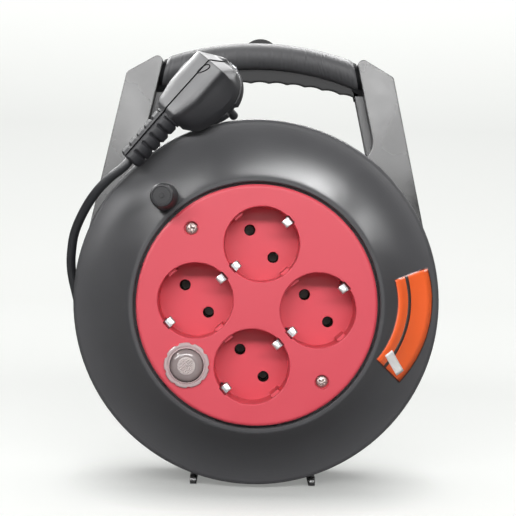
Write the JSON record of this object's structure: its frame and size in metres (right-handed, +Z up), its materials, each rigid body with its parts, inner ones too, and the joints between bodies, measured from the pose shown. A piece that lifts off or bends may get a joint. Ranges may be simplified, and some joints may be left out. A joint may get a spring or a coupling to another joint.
{
  "type": "extension cord reel",
  "caption": "Open extension cord reel: a wound drum with recessed earthed sockets, reset button and crank knob turns on a rear frame with carrying grip and runners; plug parked on the rim.",
  "frame": {"origin": "on the floor under the middle of the reel, half-way from the knob's front to the frame's back", "axes": "+Z up, the sockets face -Y, +X to the right as seen from the front; the drum turns about Y"},
  "size_m": [0.2032, 0.104, 0.2509],
  "materials": {
    "front_flange": "satin",
    "socket_plate": "fine grain",
    "rear_flange": "satin",
    "winding_core": "matt",
    "cable_winding": "satin",
    "contact_carrier": "matt",
    "line_bar": "rolled",
    "neutral_bar": "rolled",
    "earth_bar": "plated",
    "thermal_cutout": "matt",
    "cutout_bezel": "clear",
    "reset_button": "clear",
    "plate_screws": "plated",
    "hub_screws": "plated",
    "cord_clamp": "matt",
    "clamp_screws": "plated",
    "supply_tail": "satin",
    "drum_bushing": "smooth",
    "knob_pin": "turned",
    "crank_knob": "satin",
    "knob_cap": "satin",
    "rear_frame": "satin",
    "handle_grip": "matt",
    "grip_screw": "plated",
    "spindle": "turned",
    "spindle_washer": "plated",
    "spindle_screw": "plated",
    "axle_cap": "satin",
    "cord_free": "satin",
    "plug_body": "satin",
    "plug_strain_relief": "satin",
    "plug_pins": "polished",
    "plug_earth_contacts": "plated"
  },
  "bodies": {
    "frame": {"rear_frame": "rear_frame", "handle_grip": "handle_grip", "grip_screw": "grip_screw", "spindle": "spindle", "spindle_washer": "spindle_washer", "spindle_screw": "spindle_screw", "axle_cap": "axle_cap", "cord_free": "cord_free", "plug_body": "plug_body", "plug_strain_relief": "plug_strain_relief", "plug_pins": "plug_pins", "plug_earth_contacts": "plug_earth_contacts"},
    "drum": {"front_flange": "front_flange", "socket_plate": "socket_plate", "rear_flange": "rear_flange", "winding_core": "winding_core", "cable_winding": "cable_winding", "contact_carrier": "contact_carrier", "line_bar": "line_bar", "neutral_bar": "neutral_bar", "earth_bar": "earth_bar", "thermal_cutout": "thermal_cutout", "cutout_bezel": "cutout_bezel", "plate_screws": "plate_screws", "hub_screws": "hub_screws", "cord_clamp": "cord_clamp", "clamp_screws": "clamp_screws", "supply_tail": "supply_tail", "drum_bushing": "drum_bushing", "knob_pin": "knob_pin"},
    "knob": {"crank_knob": "crank_knob", "knob_cap": "knob_cap"},
    "button": {"reset_button": "reset_button"}
  },
  "joints": [
    {"name": "drum_spin", "type": "hinge", "parent": "frame", "child": "drum", "pos_m": [0, 0, 0.101], "axis": [0, 1, 0], "continuous": true},
    {"name": "knob_spin", "type": "hinge", "parent": "drum", "child": "knob", "pos_m": [-0.0487, -0.0323, 0.15605], "axis": [0, 1, 0], "continuous": true},
    {"name": "reset_press", "type": "slide", "parent": "drum", "child": "button", "axis": [0, 1, 0], "range_m": [0, 0.002], "stiffness_N_per_m": 200}
  ]
}
